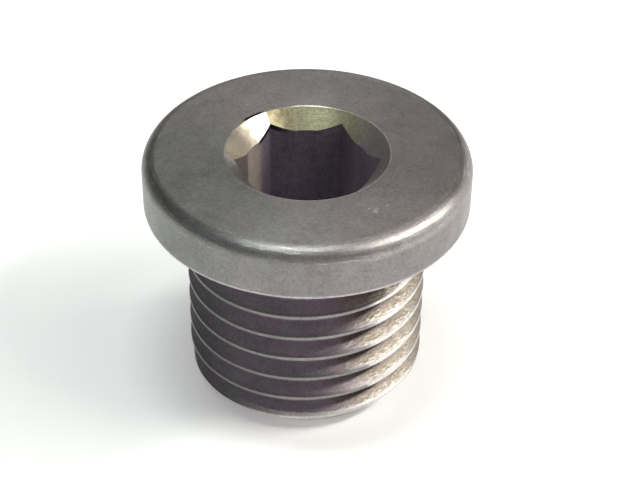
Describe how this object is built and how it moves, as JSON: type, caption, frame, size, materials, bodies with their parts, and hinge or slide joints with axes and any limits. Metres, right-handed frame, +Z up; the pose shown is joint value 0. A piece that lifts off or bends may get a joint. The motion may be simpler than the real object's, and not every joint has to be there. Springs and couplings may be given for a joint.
{
  "type": "hex socket plug",
  "caption": "Turned steel screw plug with a round collar, a countersunk hexagon socket and a right-hand fine thread, for closing a tapped oil port.",
  "frame": {"origin": "centre of the end face of the threaded shank, which the plug stands on", "axes": "+Z up the plug's axis, from the threaded end to the collar's top face; two flats of the socket face -Y and +Y, and two of its corners lie on -X and +X"},
  "size_m": [0.0186, 0.0186, 0.0149],
  "materials": {
    "turned_steel": "satin turned steel, lightly oiled and slightly tarnished in the thread and the socket"
  },
  "bodies": {
    "root": {"plug_body": "turned_steel"}
  },
  "joints": []
}
